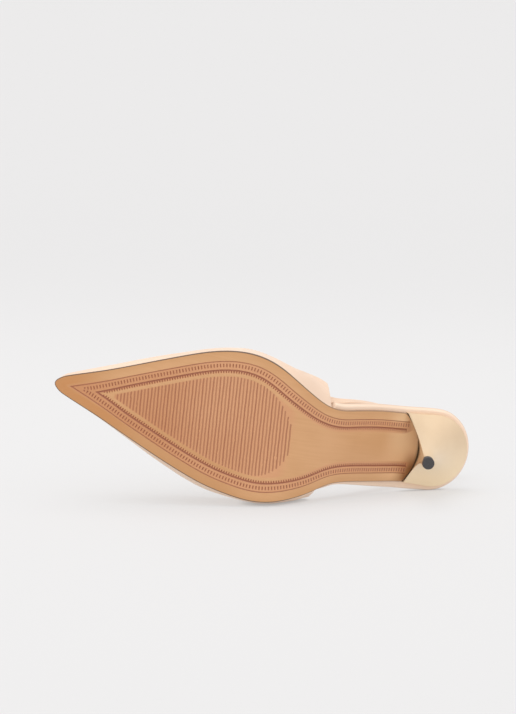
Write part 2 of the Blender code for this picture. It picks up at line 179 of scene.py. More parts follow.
LINES_END = 3.2  # the pressed lines stop this far short of the sole's rear end
WAIST_NARROW = 0.10  # the lines lie closer to the edge in the waist by this share
TOE_WIDEN = 0.10  # and farther from it by this share at the toe
LINE_STEP = 1.7  # distance between the points of a pressed line
LINE_INSET = 6.4
LINE_WIDE = 0.7
FILL_STEP = 4.5  # distance between the loose points that carry the underside's curve
BENT_FILL_STEP = 1.9  # the same behind this section:
BENT_TO = 134.0
DASH_INSET = 8.85
DASH_FIRST = 0.9
DASH_PITCH = 1.93
DASH_LONG = 2.3
DASH_WIDE = 0.85
DASH_SHORTEST = 1.1  # where the toe leaves less room than this, no dash is pressed
COMB_INSET = 11.75
COMB_WIDE = 1.05
TOOTH_LONG = 1.3
TOOTH_WIDE = 1.0
TOOTH_FIRST = 1.2
TOOTH_PITCH = 1.59
TOOTH_SHORTEST = 0.5
FIELD_INSET = 15.5
FIELD_ROUND_X = 141.0  # behind this section the rib field rounds off
FIELD_REAR = 118.0
FIELD_SQUARE = 2.4  # how squarely it does so; 2 is an ellipse
RIB_FIRST = 120.4
RIB_PITCH = 2.07
RIB_COUNT = 53
RIB_LEAN = 0.105
RIB_WIDE = 1.0
RIB_DEPTH = 0.24
RIB_SHORTEST = 3.0
PRESS_DEPTH = 0.32
PAINT_OVERLAP = 0.35  # the dark edge paint fades out over this much of the underside

LEATHER = 1.05  # thickness of the upper's leather; the lining is the rest
PLY_GAP = 0.06
TOPLINE_FOLD = 5.0  # width of the folded edge along the topline
FOLD_HEIGHT = 0.22
TOPLINE_STITCH = 1.9
STITCH_LONG = 1.75
STITCH_PITCH = 2.35
THREAD = 0.24
STRAP_STITCH = 1.3  # distance of the strap's stitch rows from its edges
RIM_DROP = 1.0  # how far the footbed's wrapped rim comes down over the sole's edge
FOOTBED_TUCK = 0.9  # how far the footbed reaches into the vamp's lining
SOCK_EDGE = 2.6
SOCK_STITCH = 2.6  # how far inside SOCK_EDGE its stitches lie
SOCK_THICK = 0.6
FOOT_DISH = 1.1  # how deep the footbed is hollowed for the heel
BALL_DISH = 0.45

# Creases in the vamp, a row each: place along the vamp (-1 outer wing, 0 toe, 1 inner wing), height
# on it (0 sole, 1 topline), direction (degrees from upright), length, width and depth in mm
CREASE_ROWS = (
    (0.80, 0.52, 62.0, 16.0, 5.0, 0.50),
    (0.91, 0.60, 35.0, 11.0, 3.6, 0.40),
    (0.66, 0.62, 78.0, 14.0, 4.2, 0.30),
    (-0.80, 0.50, 60.0, 15.0, 5.0, 0.45),
    (-0.90, 0.62, 30.0, 10.0, 3.4, 0.35),
    (-0.64, 0.66, 80.0, 14.0, 4.4, 0.28),
    (0.36, 0.80, 88.0, 18.0, 5.5, 0.28),
    (-0.38, 0.78, 88.0, 18.0, 5.5, 0.28),
)

CAMERA_PLACE = (161.5, 149.6, -1089.2)  # in the standing shoe's frame
CAMERA_AHEAD = (-0.0112, -0.0981, 0.9951)
CAMERA_UP = (0.2076, 0.9733, 0.0983)
LENS = 90.9

STUDIO_WHITE = (1.0, 0.99, 0.985)
BRIGHT_SIDE = (0.05, -0.92, 0.38)  # where the studio is brightest, seen from the shoe
SKY_DIM = 0.67
SKY_BRIGHT = 1.44
LAMP_PLACE = (-0.2, 0.1, 1.6)  # in metres; the lamp faces the shoe
LAMP_SIZE = (1.6, 1.2)
LAMP_POWER = 8.0
FLOOR_GLOW = 0.52
CONTACT_GLOW = 0.3  # the floor's glow where the shoe touches it
CONTACT_REACH = 0.003  # in metres; the glow is full this far from the shoe


# -------- curves and the shoe's own frame

def spline(knots, values):
    """Return the natural cubic curve through the values."""
    step = np.diff(knots)
    slope = np.diff(values) / step
    count = len(knots)
    system = np.eye(count)
    bend = np.zeros(count)
    for i in range(1, count - 1):
        system[i, i - 1:i + 2] = (step[i - 1], 2.0 * (step[i - 1] + step[i]), step[i])
        bend[i] = 6.0 * (slope[i] - slope[i - 1])
    bend = np.linalg.solve(system, bend)

    def value(at):
        i = np.clip(np.searchsorted(knots, at) - 1, 0, count - 2)
        near = (knots[i + 1] - at) / step[i]
        far = 1.0 - near
        curved = ((near ** 3 - near) * bend[i] + (far ** 3 - far) * bend[i + 1]) * step[i] ** 2 / 6.0
        return near * values[i] + far * values[i + 1] + curved

    return value


def table(columns, rows):
    """Return a smooth curve over the first column for each of the others."""
    data = np.array(rows)
    return {name: spline(data[:, 0], data[:, i]) for i, name in enumerate(columns) if i > 0}


SOLE = table(SOLE_COLUMNS, SOLE_ROWS)
UPPER = table(UPPER_COLUMNS, UPPER_ROWS)
VAMP = table(VAMP_COLUMNS, VAMP_ROWS)


def ease(value, start, end):
    """Return 0 before start, 1 after end and a smooth step between; start may lie past end."""
    share = np.clip((value - start) / (end - start), 0.0, 1.0)
    return share * share * (3.0 - 2.0 * share)


def unit(vectors):
    """Return vectors of length 1."""
    vectors = np.asarray(vectors, dtype=float)
    return vectors / np.maximum(np.linalg.norm(vectors, axis=-1, keepdims=True), 1e-9)


def lying_frame():
    """Return the turn and the shift (m) from the standing shoe to the CAD one, from two mounts."""
    mounts = {mount["name"]: mount for mount in frame["record"]["mounts"]}
    lift = np.array(mounts["top_lift_tread"]["pos_m"])
    up = -unit(mounts["top_lift_tread"]["axis"])
    ahead = np.array(mounts["ball_tread"]["pos_m"]) - lift
    ahead = unit(ahead - up * np.dot(ahead, up))
    swing = math.atan2(BALL_TREAD[1], BALL_TREAD[0] - TIP_X)
    x_axis = ahead * math.cos(swing) - np.cross(up, ahead) * math.sin(swing)
    turn = np.stack([x_axis, np.cross(up, x_axis), up], axis=1)
    return turn, lift - turn @ np.array([TIP_X, 0.0, 0.0]) * MM


TURN, SHIFT = lying_frame()


def lay(points):
    """Return standing points (mm) as world points (m)."""
    return np.asarray(points) @ TURN.T * MM + SHIFT


def place(x, y, height):
    """Return points at a height over the outsole's underside, square to it."""
    x, y, height = np.broadcast_arrays(x, y, height)
    slope = SOLE["rise"](x + 0.5) - SOLE["rise"](x - 0.5)
    length = np.sqrt(1.0 + slope * slope)
    return np.stack([x - slope / length * height, y, SOLE["rise"](x) + height / length], axis=-1)


def outsole_thickness(x):
    """Return the outsole's thickness at a section."""
    return OUTSOLE_FRONT + (OUTSOLE_WAIST - OUTSOLE_FRONT) * ease(x, 130.0, 100.0)


def rounded(edge, middle):
    """Return a half ellipse across the foot, from a section at its edges to one in its middle."""
    return lambda side: edge + (middle - edge) * np.sqrt(np.clip(1.0 - side * side, 0.0, 1.0))


def tongue_line(side):
    """Return the outsole's rear end, which bows into the heel's breast."""
    return TONGUE_X + TONGUE_BOW * np.abs(side - TONGUE_SKEW) ** 2.2


def plan_grid(back, front, cells, bend=0.3, stops=()):
    """Return sections and sides of a grid between a back and a front line."""
    side = np.sin(np.linspace(-0.5 * math.pi, 0.5 * math.pi, cells[1] + 1))
    rear = back(side)
    fore = front(side)
    share = np.append(np.linspace(0.0, 1.0, cells[0] + 1 - len(stops)),
                      [(stop - rear[-1]) / (fore[-1] - rear[-1]) for stop in stops])
    share = np.sort(share)[:, None]
    outer = rear[0] + (fore[0] - rear[0]) * share
    inner = rear[-1] + (fore[-1] - rear[-1]) * share
    edge = outer + (inner - outer) * (0.5 + 0.5 * side)
    near_back = np.clip(1.0 - share / bend, 0.0, 1.0)
    near_front = np.clip(1.0 - (1.0 - share) / bend, 0.0, 1.0)
    x = edge + (rear - edge[:1]) * near_back + (fore - edge[-1:]) * near_front
    return x, np.broadcast_to(side, x.shape)


def half_width(x, side):
    """Return the half width to the inner edge (side over 0) or the outer edge."""
    return np.where(side > 0.0, SOLE["inner"](x), SOLE["outer"](x))


def middle_of(x):
    """Return the y midway between the sole's two edges."""
    return 0.5 * (SOLE["inner"](x) - SOLE["outer"](x))


def across(x, side, reach=0.0):
    """Return y at a share of the half width, with the edge moved out by reach."""
    return side * (half_width(x, side) + reach)


def border(layer):
    """Return the outline of a grid of points as one closed loop."""
    return np.concatenate([layer[0, :-1], layer[:-1, -1], layer[-1, :0:-1], layer[:0:-1, 0]])


# -------- making pieces

def show(name, data):
    """Put an object with the data into the scene."""
    made = bpy.data.objects.new(name, data)
    bpy.context.scene.collection.objects.link(made)
    return made


def clean(mesh):
    """Merge doubled points, turn the faces outwards and shade them smooth."""
    body = bmesh.new()
    body.from_mesh(mesh)
    bmesh.ops.remove_doubles(body, verts=body.verts, dist=2e-6)
    bmesh.ops.dissolve_degenerate(body, edges=body.edges, dist=1e-6)
    bmesh.ops.recalc_face_normals(body, faces=body.faces)
    body.to_mesh(mesh)
    body.free()
    mesh.shade_smooth()


def note(mesh, name, values, domain="POINT"):
    """Store a number for each point or face of a mesh."""
    made = mesh.attributes.new(name, "FLOAT", domain)
    made.data.foreach_set("value", np.asarray(values, dtype=np.float32))


def make_piece(name, points, faces, material, slot, replaced=None, sharp=35.0, pressed=None):
    """Make a closed piece from standing points (mm), pressed flat where it lies on the floor."""
    mesh = bpy.data.meshes.new(name)
    world = lay(points)
    world[:, 2] = np.maximum(world[:, 2], 0.0)
    mesh.from_pydata(world.tolist(), [], faces)
    shoe = mesh.attributes.new("shoe", "FLOAT_VECTOR", "POINT")
    shoe.data.foreach_set("vector", np.asarray(points, dtype=np.float32).ravel())
    if pressed is not None:
        note(mesh, "pressed", pressed, "FACE")
    clean(mesh)
    mesh.set_sharp_from_angle(angle=math.radians(sharp))
    mesh.materials.append(material)
    piece = show(name, mesh)
    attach(piece, "root")
    if replaced:
        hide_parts(replaced)
    return piece


def mark_facing(piece, name, toward, start, end):
    """Note at each point how far it faces in a direction of the standing shoe."""
    normals = np.array([tuple(vertex.normal) for vertex in piece.data.vertices])
    note(piece.data, name, ease(normals @ (TURN @ np.array(toward)), start, end))


def grid_faces(shape, first):
    """Return the quads of a grid whose points start at index first."""
    rows, columns = shape[:2]
    corner = (np.arange(rows - 1)[:, None] * columns + np.arange(columns - 1)[None, :]).ravel() + first
    return np.stack([corner, corner + 1, corner + columns + 1, corner + columns], axis=1).tolist()


def side_faces(first, loops, count):
    """Return the quads between closed loops of count points that start at index first."""
    faces = []
    for low in range(first, first + (loops - 1) * count, count):
        high = low + count
        faces += [(low + i, low + (i + 1) % count, high + (i + 1) % count, high + i)
                  for i in range(count)]
    return faces


def tube_faces(first, loops, count):
    """Return the faces of a tube of loops that is closed at both ends."""
    last = first + (loops - 1) * count
    return side_faces(first, loops, count) + [tuple(range(i, i + count)) for i in (first, last)]


def stacked(layers):
    """Return the points and faces of a body closed by its first and last grid."""
    points = [layers[0].reshape(-1, 3), layers[-1].reshape(-1, 3)]
    points += [border(layer) for layer in layers]
    faces = grid_faces(layers[0].shape, 0)
    faces += grid_faces(layers[-1].shape, len(points[0]))
    faces += side_faces(len(points[0]) + len(points[1]), len(layers), len(points[2]))
    return np.concatenate(points), faces


def circle(count):
    """Return even angles round a circle."""
    return np.linspace(0.0, 2.0 * math.pi, count, endpoint=False)


def lengths_of(line):
    """Return the length from a line's start to each of its points."""
    return np.concatenate([[0.0], np.cumsum(np.linalg.norm(np.diff(line, axis=0), axis=1))])


def between(run, values, at):
    """Return rows of values, given at lengths run, at other lengths."""
    return np.stack([np.interp(at, run, column) for column in values.T], axis=-1)


def points_along(line, at):
    """Return points of a line at lengths from its start."""
    return between(lengths_of(line), line, at)


def stitch_row(name, line, out, material, slot):
    """Sew a row of stitches along a line; out points away from the leather at each point."""
    run = lengths_of(line)
    share = np.linspace(0.0, 1.0, 7)
    arch = np.sin(math.pi * share)
    thick = THREAD * np.clip(1.6 * arch ** 0.5, 0.35, 1.0)
    turns = circle(8)[:, None]
    points = []
    faces = []
    for start in np.arange(0.5 * STITCH_PITCH, run[-1] - STITCH_PITCH, STITCH_PITCH):
        at = start + STITCH_LONG * share
        centre = between(run, line, at)
        up = unit(between(run, out, at))
        side = unit(np.cross(up, unit(np.gradient(centre, axis=0))))
        centre = centre + up * (0.7 * THREAD * arch - 0.85 * THREAD)[:, None]
        ring = np.cos(turns) * side[:, None] + np.sin(turns) * up[:, None]
        faces += tube_faces(len(points) * len(share) * len(turns), len(share), len(turns))
        points.append((centre[:, None] + thick[:, None, None] * ring).reshape(-1, 3))
    make_piece(name, np.concatenate(points), faces, material, slot, sharp=60.0)


# -------- materials

def feed(tree, socket, value):
    """Link a socket to another node's output, or set its constant."""
    if isinstance(value, bpy.types.NodeSocket):
        tree.links.new(value, socket)
    elif socket.type == "RGBA":
        socket.default_value = (*value, 1.0)
    else:
        socket.default_value = value


def add_node(tree, kind, inputs, output=0, **settings):
    """Add a shader node, feed its inputs and return one of its outputs."""
    made = tree.nodes.new("ShaderNode" + kind)
    for key, value in settings.items():
        setattr(made, key, value)
    for key, value in inputs.items():
        feed(tree, made.inputs[key], value)
    return made.outputs[output]


class Surface:
    """A Principled material built from procedural nodes over the shoe's own millimetres."""

    def __init__(self, name, roughness, metallic=0.0, specular=0.5):
        self.material = bpy.data.materials.new(name)
        self.material.use_nodes = True
        self.tree = self.material.node_tree
        self.shade({"Roughness": roughness, "Metallic": metallic, "Specular IOR Level": specular})

    def shade(self, inputs):
        """Feed the shader's own inputs."""
        shader = self.tree.nodes["Principled BSDF"]
        for key, value in inputs.items():
            feed(self.tree, shader.inputs[key], value)

    def attribute(self, name, output="Fac"):
        """Return what the meshes store under a name."""
        return add_node(self.tree, "Attribute", {}, output, attribute_name=name)

    def part(self, axis):
        """Return one of the shoe's coordinates in millimetres."""
        return add_node(self.tree, "SeparateXYZ", {0: self.attribute("shoe", "Vector")}, axis)

    def cells(self, *sizes):
        """Return the shoe's coordinates, counted in cells of a size along each axis."""
        inputs = {"Vector": self.attribute("shoe", "Vector"), "Scale": tuple(1.0 / s for s in sizes)}
        return add_node(self.tree, "Mapping", inputs)

    def noise(self, size, detail=2.0, stretch=(1.0, 1.0, 1.0)):
        """Return noise with features of about size millimetres, longer along an axis by stretch."""
        cells = self.cells(*(size * s for s in stretch))
        return add_node(self.tree, "TexNoise", {"Vector": cells, "Scale": 1.0, "Detail": detail}, "Fac")

    def pebbles(self, size):
        """Return leather grain: the distance to the middles of cells of about size millimetres."""
        inputs = {"Vector": self.cells(size, size, size), "Scale": 1.0}
        return add_node(self.tree, "TexVoronoi", inputs, "Distance", feature="F1")

    def math(self, operation, *values):
        return add_node(self.tree, "Math", dict(enumerate(values)), operation=operation)

    def times(self, first, second):
        return self.math("MULTIPLY", first, second)

    def spread(self, value, gain, low):
        """Return the value times gain, plus low."""
        return self.math("MULTIPLY_ADD", value, gain, low)

    def ramp(self, value, low, high):
        """Return 0 before low, 1 past high and a smooth step between; low may lie past high."""
        inputs = {"Value": value, "From Min": low, "From Max": high}
        return add_node(self.tree, "MapRange", inputs, "Result", interpolation_type="SMOOTHSTEP")

    def both(self, first, second):
        """Return the product of two ramps, each given as (value, low, high)."""
        return self.times(self.ramp(*first), self.ramp(*second))

    def mix(self, share, a, b):
        """Return colour a where share is 0 and colour b where it is 1."""
        return add_node(self.tree, "Mix", {0: share, 6: a, 7: b}, 2, data_type="RGBA")

    def stain(self, base, where, strength, colour):
        """Return the base, stained by a colour where a mask is 1."""
        return self.mix(self.times(where, strength), base, colour)

    def bump(self, *layers):
        """Stack bumps, each a (height, depth in millimetres) pair."""
        normal = {}
        for height, depth in layers:
            inputs = {"Strength": 1.0, "Distance": depth * MM, "Height": height, **normal}
            normal = {"Normal": add_node(self.tree, "Bump", inputs, "Normal")}
        self.shade(normal)


def leather(name, light, dark, roughness=0.42, grain=0.55, under=None):
    """Smooth leather: a fine grain, faint clouding and a little unevenness in its sheen; under, if given, is
    painted light on what faces down.
    """
    surface = Surface(name, roughness, specular=0.4)
    flecks = surface.times(surface.noise(1.4, 4.0), 0.3)
    tone = surface.spread(surface.noise(26.0, 3.0), 0.7, flecks)
    base = surface.mix(surface.ramp(tone, 0.3, 0.7), dark, light)
    # Painted light: where the mesh notes that a point faces down (under), the colour turns to the lighter
    # under colour
    if under:
        base = surface.mix(surface.attribute("under"), base, under)
    shine = surface.spread(surface.noise(9.0, 3.0), 0.16, roughness - 0.08)
    surface.shade({"Base Color": base, "Roughness": shine})
    surface.bump((surface.noise(7.0), 0.06), (surface.pebbles(grain), 0.02))
    return surface.material


def sole_leather():
    """Tan sole: brushed finish, warmer round the pressed pattern, brown in what is pressed, with painted
    light and painted shade near the heel.
    """
    surface = Surface("tan_sole", 0.42, specular=0.4)
    ramp, both, stain, times = surface.ramp, surface.both, surface.stain, surface.times
    x = surface.part(0)
    y = surface.part(1)
    inward = surface.attribute("inward")
    streaks = surface.noise(1.0, 4.0, stretch=(28.0, 1.2, 28.0))
    cloud = surface.noise(30.0, 3.0)
    tone = surface.spread(streaks, 0.45, times(cloud, 0.55))
    base = surface.mix(ramp(tone, 0.32, 0.68), (0.640, 0.345, 0.160), (0.690, 0.385, 0.190))

    # Painted light: paler towards the heel, most of all in front of its breast, against the shade the heel
    # casts there
    base = stain(base, ramp(x, 80.0, 48.0), 0.7, (0.760, 0.450, 0.235))
    painted_heel_light = surface.mix(ramp(y, 2.0, -16.0), (1.000, 0.700, 0.415), (0.840, 0.510, 0.270))
    base = surface.mix(ramp(x, 62.0, 42.0), base, painted_heel_light)

    # Deeper along the outer side of the forefoot and at the toe
    lower = surface.math("MAXIMUM", both((y, 4.0, -16.0), (x, 128.0, 160.0)), ramp(x, 225.0, 255.0))
    base = stain(base, lower, 0.8, (0.570, 0.285, 0.120))

    # Painted shadow of the heel: brown along the outer half of the bowed rear end
    aside = surface.math("ADD", y, 4.0)
    ahead = surface.math("SUBTRACT", x, times(times(aside, aside), 0.013))
    base = stain(base, both((ahead, 47.0, 35.0), (y, 0.0, -14.0)), 0.95, (0.350, 0.150, 0.055))

    # Warmer in the band between the pressed lines and in the field of grooves
    band = both((inward, LINE_INSET - 0.6, LINE_INSET + 0.3), (inward, COMB_INSET + 2.2, COMB_INSET + 1.2))
    band = times(band, ramp(ahead, 37.5, 41.0))
    field = both((inward, FIELD_INSET - 0.6, FIELD_INSET + 0.6), (x, FIELD_REAR - 2.0, FIELD_REAR + 6.0))
    warm = surface.mix(ramp(x, 168.0, 202.0), (0.665, 0.315, 0.165), (0.575, 0.240, 0.112))
    base = stain(base, surface.math("MAXIMUM", band, field), 0.6, warm)

    # Orange round the toe's margin, and a little darker along the whole margin
    toe = surface.math("MAXIMUM", ramp(x, 236.0, 262.0), both((x, 206.0, 236.0), (y, 0.0, -5.0)))
    base = stain(base, times(toe, ramp(inward, 6.5, 5.0)), 0.7, (0.560, 0.240, 0.080))
    base = stain(base, ramp(inward, 5.5, 0.0), 0.35, (0.560, 0.285, 0.115))

    # Brown in what is pressed, and the paint on the edge, darkest across the rear end, where it is partly
    # painted shade of the gap against the heel
    base = stain(base, surface.attribute("pressed"), 0.85, (0.330, 0.108, 0.056))
    paint = surface.mix(ramp(x, 92.0, 112.0), (0.340, 0.210, 0.130), (0.110, 0.066, 0.042))
    paint = surface.mix(ramp(inward, 3.0, 6.0), paint, (0.080, 0.045, 0.028))
    base = surface.mix(ramp(surface.attribute("edge"), 0.05, 0.75), base, paint)
    surface.shade({"Base Color": base, "Roughness": surface.spread(cloud, 0.2, 0.34)})
    surface.bump((streaks, 0.02), (surface.noise(0.8, 3.0), 0.012))
    return surface.material


def heel_lacquer():
    """Pale gold metallic lacquer with a faint drift and hairline scuffs, lighter on its outer side (painted
    light) and darker on its breast (painted shade).
    """
    surface = Surface("pale_gold", 0.36, metallic=0.35)
    drift = surface.noise(9.0, stretch=(1.0, 1.0, 3.0))
    base = surface.mix(surface.ramp(drift, 0.25, 0.75), (0.750, 0.560, 0.365), (0.780, 0.590, 0.390))
    # Painted light: paler towards the outer side, which faces the floor
    base = surface.mix(surface.ramp(surface.part(1), 16.0, -20.0), base, (0.975, 0.770, 0.505))
    # Painted shade and painted reflection of the tan sole on the forward-facing breast
    base = surface.stain(base, surface.attribute("breast"), 0.6, (0.400, 0.240, 0.105))
    hairs = surface.ramp(surface.noise(0.5, stretch=(1.0, 1.0, 22.0)), 0.66, 0.74)
    surface.shade({"Base Color": base, "Roughness": surface.spread(hairs, 0.10, 0.34),
                   "Coat Weight": 0.3, "Coat Roughness": 0.18})
    surface.bump((surface.noise(16.0, 1.0), 0.04), (hairs, 0.002))
    return surface.material


def lift_rubber():
    """Matt black rubber, slightly scuffed on its tread."""
    surface = Surface("black_rubber", 0.6, specular=0.35)
    specks = surface.noise(0.45, 4.0)
    base = surface.mix(surface.ramp(specks, 0.35, 0.75), (0.048, 0.045, 0.047), (0.085, 0.080, 0.082))
    surface.shade({"Base Color": base, "Roughness": surface.spread(specks, 0.2, 0.5)})
    surface.bump((specks, 0.05))
    return surface.material


def thread():
    """Waxed sewing thread with its twist."""
    surface = Surface("cream_thread", 0.55)
    twist = surface.noise(0.22, 1.0)
    surface.shade({"Base Color": surface.mix(twist, (0.800, 0.610, 0.470), (0.900, 0.740, 0.610))})
    surface.bump((twist, 0.04))
    return surface.material


# -------- the sole's pressed underside

SECTIONS = np.linspace(20.0, 275.0, 2041)
RUNS = lengths_of(np.stack([SECTIONS, SOLE["rise"](SECTIONS)], axis=-1))


def run_at(x):
    """Return the length along the sole's underside to a section."""
    return np.interp(x, SECTIONS, RUNS)


def section_at(run):
    """Return the section at a length along the sole's underside."""
    return np.interp(run, RUNS, SECTIONS)


def unrolled(x, y):
    """Return flat points for sections and y on the underside."""
    return np.stack([run_at(x), y], axis=-1)


def left_of(ahead):
    """Return flat directions turned a quarter to the left."""
    return np.stack([-ahead[:, 1], ahead[:, 0]], axis=-1)


def inset_line(side, inset):
    """Return a line inside one edge of the sole, from the toe to its rear end, unrolled flat."""
    x = np.linspace(NOSE_X - 1.0, tongue_line(0.7 * side) + LINES_END, 1400)
    plan = unrolled(x, across(x, side))
    inward = side * left_of(unit(np.gradient(plan, axis=0)))
    near = inset * (1.0 - WAIST_NARROW * ease(x, 125.0, 92.0) + TOE_WIDEN * ease(x, 222.0, 254.0))
    return plan + inward * near[:, None]


def toe_trimmed(side, inset):
    """Return an inset line from where it meets its twin at the toe."""
    lines = {s: inset_line(s, inset) for s in (1.0, -1.0)}
    run = np.linspace(run_at(150.0), run_at(NOSE_X), 6000)
    inner, outer = (np.interp(run, line[::-1, 0], line[::-1, 1]) for line in lines.values())
    last = np.nonzero(inner > outer)[0][-1]
    apex = np.array([[run[last], 0.5 * (inner[last] + outer[last])]])
    line = lines[side]
    return np.concatenate([apex, line[line[:, 0] < run[last] - 0.05]])


class PressedPlan:
    """Points and lines of the unrolled underside, each point with a depth and a darkness."""

    def __init__(self):
        self.points = []
        self.depth = []
        self.dark = []
        self.edges = []

    def add(self, points, depth=0.0, dark=0.0, closed=False):
        """Add a line of points, joined up when it is closed."""
        first = len(self.points)
        count = len(points)
        self.points += [tuple(p) for p in points]
        self.depth += [depth] * count
        self.dark += [dark] * count
        self.edges += [(first + i, first + i + 1) for i in range(count - 1)]
        if closed:
            self.edges.append((first + count - 1, first))


def both_sides(inset, short=0.0):
    """Return an inset line from its outer rear end round the toe to its inner rear end."""
    halves = []
    for side in (-1.0, 1.0):
        line = toe_trimmed(side, inset)
        total = lengths_of(line)[-1] - short
        halves.append(points_along(line, np.linspace(0.0, total, int(total / LINE_STEP))))
    return np.concatenate([halves[0][::-1], halves[1][1:]])


def press_line(plan):
    """Press the fine outer line."""
    lips = [both_sides(LINE_INSET + s * 0.5 * LINE_WIDE) for s in (-1.0, 1.0)]
    plan.add(np.concatenate([lips[0], lips[1][::-1]]), closed=True)
    plan.add(both_sides(LINE_INSET, short=0.8), 0.7 * PRESS_DEPTH, 0.8)


def room_inward(side, spot):
    """Return how far a mark may reach inward from its centre before the foot's middle."""
    centre, _, inward = spot
    middle = middle_of(section_at(centre[0]))
    return (side * (centre[1] - middle) - 0.12) / max(-side * inward[1], 0.1)


def spots_along(side, inset, first, pitch):
    """Return spots at an even pitch along an inset line: a centre, a direction and one inward."""
    line = toe_trimmed(side, inset)
    at = np.arange(first, lengths_of(line)[-1] - 0.8, pitch)
    ahead = unit(points_along(line, at + 0.3) - points_along(line, at - 0.3))
    return zip(points_along(line, at), ahead, side * left_of(ahead))


def beside(spot, *offsets):
    """Return points at offsets from a spot, each (inward, ahead)."""
    centre, ahead, inward = spot
    return [centre + inward * deep + ahead * wide for deep, wide in offsets]


def press_dashes(plan):
    """Press the row of short dashes square to the edge."""
    half = 0.5 * DASH_WIDE
    near = -0.5 * DASH_LONG
    for side in (-1.0, 1.0):
        for spot in spots_along(side, DASH_INSET, DASH_FIRST, DASH_PITCH):
            far = min(-near, room_inward(side, spot) - 0.2)
            if far - near < DASH_SHORTEST:
                continue
            plan.add(beside(spot, (near, -half), (near, half), (far, half), (far, -half)), closed=True)
            plan.add(beside(spot, (near + 0.45, 0.0), (far - 0.45, 0.0)), PRESS_DEPTH, 0.85)


def press_comb(plan):
    """Press the inner line with its comb of teeth."""
    half = 0.5 * COMB_WIDE
    root = 0.5 * TOOTH_WIDE
    tip = 0.45 * root
    lips = []
    floors = []
    teeth = []
    for side in (-1.0, 1.0):
        lips.append([])
        floors.append([])
        for spot in spots_along(side, COMB_INSET, TOOTH_FIRST, TOOTH_PITCH):
            floors[-1].append(spot[0])
            end = half + min(TOOTH_LONG, room_inward(side, spot) - half - 0.4)
            if end - half < TOOTH_SHORTEST:
                continue
            lips[-1] += beside(spot, (half, -root), (end, -tip), (end, tip), (half, root))
            teeth.append(beside(spot, (0.0, 0.0), (end - 0.35, 0.0)))
    apex, lip_apex = (toe_trimmed(1.0, COMB_INSET + deep)[:1] for deep in (0.0, half))
    inner_lip = np.concatenate([lips[0][::-1], lip_apex, lips[1]])
    plan.add(np.concatenate([both_sides(COMB_INSET - half), inner_lip[::-1]]), closed=True)
    plan.add(np.concatenate([floors[0][::-1], apex, floors[1]]), PRESS_DEPTH, 1.0)
    for tooth in teeth:
        plan.add(tooth, PRESS_DEPTH, 0.9)


def field_limit(x, side):
    """Return how far the rib field reaches to one side of the foot at a section."""
    slope = half_width(x + 0.5, side) - half_width(x - 0.5, side)
    reach = side * (half_width(x, side) - FIELD_INSET * np.sqrt(1.0 + slope * slope))
    behind = np.clip((FIELD_ROUND_X - x) / (FIELD_ROUND_X - FIELD_REAR), 0.0, 1.0)
    middle = middle_of(x)
    return middle + (reach - middle) * (1.0 - behind ** FIELD_SQUARE) ** (1.0 / FIELD_SQUARE)


def press_ribs(plan):
    """Press the field of slanting grooves under the ball of the foot."""
    for i in range(RIB_COUNT):
        start = RIB_FIRST + RIB_PITCH * i
        ends = [0.0, 0.0]
        for k, side in enumerate((-1.0, 1.0)):
            for _ in range(12):
                ends[k] = float(field_limit(start + RIB_LEAN * ends[k], side))
        long = ends[1] - ends[0]
        if long < RIB_SHORTEST:
            continue

        def groove(y, shift):
            wave = 0.07 * np.sin(0.33 * y + 1.7 * i) + 0.04 * np.sin(0.81 * y + 0.9 * i)
            taper = np.clip(np.minimum(y - ends[0], ends[1] - y) / 0.6, 0.35, 1.0)
            return unrolled(start + RIB_LEAN * y + wave + shift * RIB_WIDE * 0.5 * taper, y)

        count = max(4, int(long / 2.2))
        y = np.concatenate([ends[:1], np.linspace(ends[0] + 0.6, ends[1] - 0.6, count), ends[1:]])
        plan.add(np.concatenate([groove(y, -1.0), groove(y[::-1], 1.0)]), closed=True)
        uneven = math.sin(2.4 * i)
        plan.add(groove(np.linspace(ends[0] + 0.8, ends[1] - 0.8, count), 0.0),
                 RIB_DEPTH * (0.95 + 0.1 * uneven), 0.68 + 0.07 * uneven)


def search_tree(points):
    """Return a tree that finds the nearest of some flat points."""
    tree = KDTree(len(points))
    for i, point in enumerate(points):
        tree.insert((*point, 0.0), i)
    tree.balance()
    return tree


def fill_plan(plan, outline):
    """Add loose points so that the bent waist and the belly keep their curves."""
    tree = search_tree([*plan.points, *outline])
    run = run_at(38.0)
    while run < run_at(NOSE_X):
        x = section_at(run)
        for share in np.linspace(-0.96, 0.96, 17):
            spot = (run, float(across(x, share)))
            if x > tongue_line(share) + 1.0 and tree.find((*spot, 0.0))[2] > 0.9:
                plan.add([spot])
        run += BENT_FILL_STEP if x < BENT_TO else FILL_STEP


def sole_outline():
    """Return the sole's outline, unrolled flat, with even steps and slightly rounded corners."""
    x, side = plan_grid(tongue_line, rounded(NOSE_X, OUTSOLE_TIP), (210, 44))
    plan = border(unrolled(x, across(x, side)))
    plan = np.concatenate([plan, plan[:1]])
    plan = points_along(plan, np.linspace(0.0, lengths_of(plan)[-1], 521))[:-1]
    for _ in range(2):
        plan = 0.5 * plan + 0.25 * (np.roll(plan, 1, axis=0) + np.roll(plan, -1, axis=0))
    return plan


def drawn_in(outline, inset):
    """Return a closed outline drawn in square to itself."""
    inward = left_of(unit(np.roll(outline, -1, axis=0) - np.roll(outline, 1, axis=0)))
    if np.sum((outline.mean(axis=0) - outline) * inward) < 0.0:
        inward = -inward
    return outline + inward * inset


def triangulate(outline, points, edges):
    """Return a flat outline's points, triangles and sources, with points and lines inside it."""
    count = len(outline)
    every = [Vector(p) for p in (*outline, *points)]
    shifted = [(a + count, b + count) for a, b in edges]
    result = delaunay_2d_cdt(every, shifted, [list(range(count))], 1, 1e-4)
    return np.array([tuple(p) for p in result[0]]), [tuple(face) for face in result[2]], result[3]


